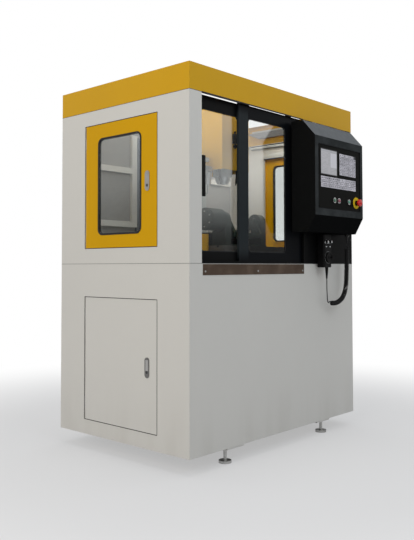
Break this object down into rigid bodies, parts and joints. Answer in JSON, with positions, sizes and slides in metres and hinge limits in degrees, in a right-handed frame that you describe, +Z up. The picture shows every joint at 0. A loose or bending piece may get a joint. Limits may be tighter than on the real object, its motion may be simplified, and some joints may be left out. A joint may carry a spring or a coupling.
{
  "type": "mini cnc machining center",
  "caption": "Enclosed compact five-axis milling machine: sheet cabinet with sliding and side doors, front control box and a hand pendant on a curly cord.",
  "frame": {"origin": "on the floor, under the centre of the machine's overall box", "axes": "+Z up, +X to the operator's right, the sliding doors and control box face -Y"},
  "size_m": [1.375, 1.102, 1.815],
  "materials": {
    "yellow_paint": "satin",
    "white_paint": "satin",
    "black_paint": "satin",
    "inner_paint": "satin",
    "stainless": "brushed",
    "zinc_steel": "zinc plated",
    "latch_chrome": "polished",
    "clear_pane": "clear",
    "rubber": "matt",
    "cast_grey": "painted casting",
    "ground_steel": "ground",
    "dark_drive": "satin",
    "black_plastic": "matt",
    "screen_glass": "gloss",
    "key_film": "matt film",
    "green_plastic": "gloss",
    "red_plastic": "gloss",
    "white_plastic": "gloss",
    "operator_paint": "satin"
  },
  "bodies": {
    "root": {"base_frame": "white_paint", "levelling_feet": "zinc_steel", "lower_front_panel": "white_paint", "lower_left_panel": "white_paint", "lower_right_panel": "white_paint", "upper_left_panel": "white_paint", "upper_right_panel": "white_paint", "rear_panel": "white_paint", "roof_fascia": "yellow_paint", "front_cover_plate": "black_paint", "door_sill_track": "black_paint", "sill_guard_strip": "stainless", "door_hinge_pins": "zinc_steel", "control_box": "black_paint", "operator_panel": "operator_paint", "display_screen": "screen_glass", "keypad": "key_film", "pendant_housing": "black_plastic", "machine_bed": "cast_grey", "column": "cast_grey", "splash_tray": "inner_paint", "coolant_tank": "inner_paint", "electrical_cabinet": "inner_paint", "cord_gland": "black_plastic", "cord_curly": "black_plastic", "cord_straight": "black_plastic"},
    "right_door": {"right_sliding_door": "black_paint", "right_door_window": "clear_pane"},
    "left_door": {"left_sliding_door": "black_paint", "left_door_window": "clear_pane", "left_door_handle": "black_plastic"},
    "upper_left_leaf": {"upper_left_door": "yellow_paint", "upper_left_gasket": "rubber", "upper_left_window": "clear_pane", "upper_left_latch": "latch_chrome"},
    "upper_right_leaf": {"upper_right_door": "yellow_paint", "upper_right_gasket": "rubber", "upper_right_window": "clear_pane", "upper_right_latch": "latch_chrome"},
    "lower_left_leaf": {"lower_left_door": "white_paint", "lower_left_latch": "latch_chrome"},
    "upper_left_handle": {"upper_left_paddle": "latch_chrome"},
    "upper_right_handle": {"upper_right_paddle": "latch_chrome"},
    "lower_left_handle": {"lower_left_paddle": "latch_chrome"},
    "start_push": {"start_button": "green_plastic"},
    "stop_push": {"stop_button": "red_plastic"},
    "program_push": {"program_button": "white_plastic"},
    "e_stop_push": {"e_stop_button": "red_plastic"},
    "handwheel": {"pendant_handwheel": "black_plastic"},
    "axis_selector": {"axis_knob": "white_plastic"},
    "scale_selector": {"scale_knob": "white_plastic"},
    "y_saddle": {"saddle": "cast_grey"},
    "x_table": {"table": "ground_steel", "trunnion_stand": "dark_drive"},
    "a_cradle": {"tilting_cradle": "cast_grey"},
    "c_faceplate": {"rotary_faceplate": "ground_steel"},
    "z_head": {"spindle_head": "cast_grey", "head_cover": "yellow_paint"},
    "spindle_rotor": {"spindle": "ground_steel"},
    "carousel_rotor": {"tool_carousel": "ground_steel"}
  },
  "joints": [
    {"name": "right_door_slide", "type": "slide", "parent": "root", "child": "right_door", "axis": [1, 0, 0], "range_m": [0, 0.46]},
    {"name": "left_door_slide", "type": "slide", "parent": "right_door", "child": "left_door", "axis": [1, 0, 0], "range_m": [0, 0.235]},
    {"name": "upper_left_door_hinge", "type": "hinge", "parent": "root", "child": "upper_left_leaf", "pos_m": [-0.683, 0.3505, 1.309], "axis": [0, 0, -1], "range_deg": [0, 95]},
    {"name": "upper_right_door_hinge", "type": "hinge", "parent": "root", "child": "upper_right_leaf", "pos_m": [0.683, 0.2435, 1.309], "axis": [0, 0, 1], "range_deg": [0, 95]},
    {"name": "lower_left_door_hinge", "type": "hinge", "parent": "root", "child": "lower_left_leaf", "pos_m": [-0.683, 0.3505, 0.453], "axis": [0, 0, -1], "range_deg": [0, 95]},
    {"name": "upper_left_paddle_hinge", "type": "hinge", "parent": "upper_left_leaf", "child": "upper_left_handle", "pos_m": [-0.686, -0.105, 1.3399], "axis": [0, 1, 0], "range_deg": [0, 45], "stiffness_Nm_per_rad": 0.05},
    {"name": "upper_right_paddle_hinge", "type": "hinge", "parent": "upper_right_leaf", "child": "upper_right_handle", "pos_m": [0.686, -0.105, 1.3399], "axis": [0, -1, 0], "range_deg": [0, 45], "stiffness_Nm_per_rad": 0.05},
    {"name": "lower_left_paddle_hinge", "type": "hinge", "parent": "lower_left_leaf", "child": "lower_left_handle", "pos_m": [-0.686, -0.105, 0.4779], "axis": [0, 1, 0], "range_deg": [0, 45], "stiffness_Nm_per_rad": 0.05},
    {"name": "start_push_slide", "type": "slide", "parent": "root", "child": "start_push", "axis": [0, 1, 0], "range_m": [0, 0.0035], "stiffness_N_per_m": 200},
    {"name": "stop_push_slide", "type": "slide", "parent": "root", "child": "stop_push", "axis": [0, 1, 0], "range_m": [0, 0.0035], "stiffness_N_per_m": 200},
    {"name": "program_push_slide", "type": "slide", "parent": "root", "child": "program_push", "axis": [0, 1, 0], "range_m": [0, 0.0035], "stiffness_N_per_m": 200},
    {"name": "e_stop_push_slide", "type": "slide", "parent": "root", "child": "e_stop_push", "axis": [0, 1, 0], "range_m": [0, 0.0035]},
    {"name": "handwheel_turn", "type": "hinge", "parent": "root", "child": "handwheel", "pos_m": [0.336, -0.4343, 0.957], "axis": [0, -1, 0], "continuous": true},
    {"name": "axis_selector_turn", "type": "hinge", "parent": "root", "child": "axis_selector", "pos_m": [0.318, -0.4343, 1.041], "axis": [0, -1, 0], "range_deg": [-75, 75]},
    {"name": "scale_selector_turn", "type": "hinge", "parent": "root", "child": "scale_selector", "pos_m": [0.354, -0.4343, 1.041], "axis": [0, -1, 0], "range_deg": [-30, 30]},
    {"name": "y_axis_slide", "type": "slide", "parent": "root", "child": "y_saddle", "axis": [0, 1, 0], "range_m": [0, 0.15]},
    {"name": "x_axis_slide", "type": "slide", "parent": "y_saddle", "child": "x_table", "axis": [1, 0, 0], "range_m": [-0.1, 0.1]},
    {"name": "a_axis_tilt", "type": "hinge", "parent": "x_table", "child": "a_cradle", "pos_m": [0, -0.094, 1.15], "axis": [1, 0, 0], "range_deg": [-30, 90]},
    {"name": "c_axis_turn", "type": "hinge", "parent": "a_cradle", "child": "c_faceplate", "pos_m": [0, -0.094, 1.094], "axis": [0, 0, 1], "continuous": true},
    {"name": "z_axis_slide", "type": "slide", "parent": "root", "child": "z_head", "axis": [0, 0, 1], "range_m": [-0.2, 0]},
    {"name": "spindle_turn", "type": "hinge", "parent": "z_head", "child": "spindle_rotor", "pos_m": [0, 0.026, 1.42], "axis": [0, 0, 1], "continuous": true},
    {"name": "carousel_turn", "type": "hinge", "parent": "root", "child": "carousel_rotor", "pos_m": [-0.25, 0.026, 1.41], "axis": [0, 0, 1], "continuous": true}
  ]
}
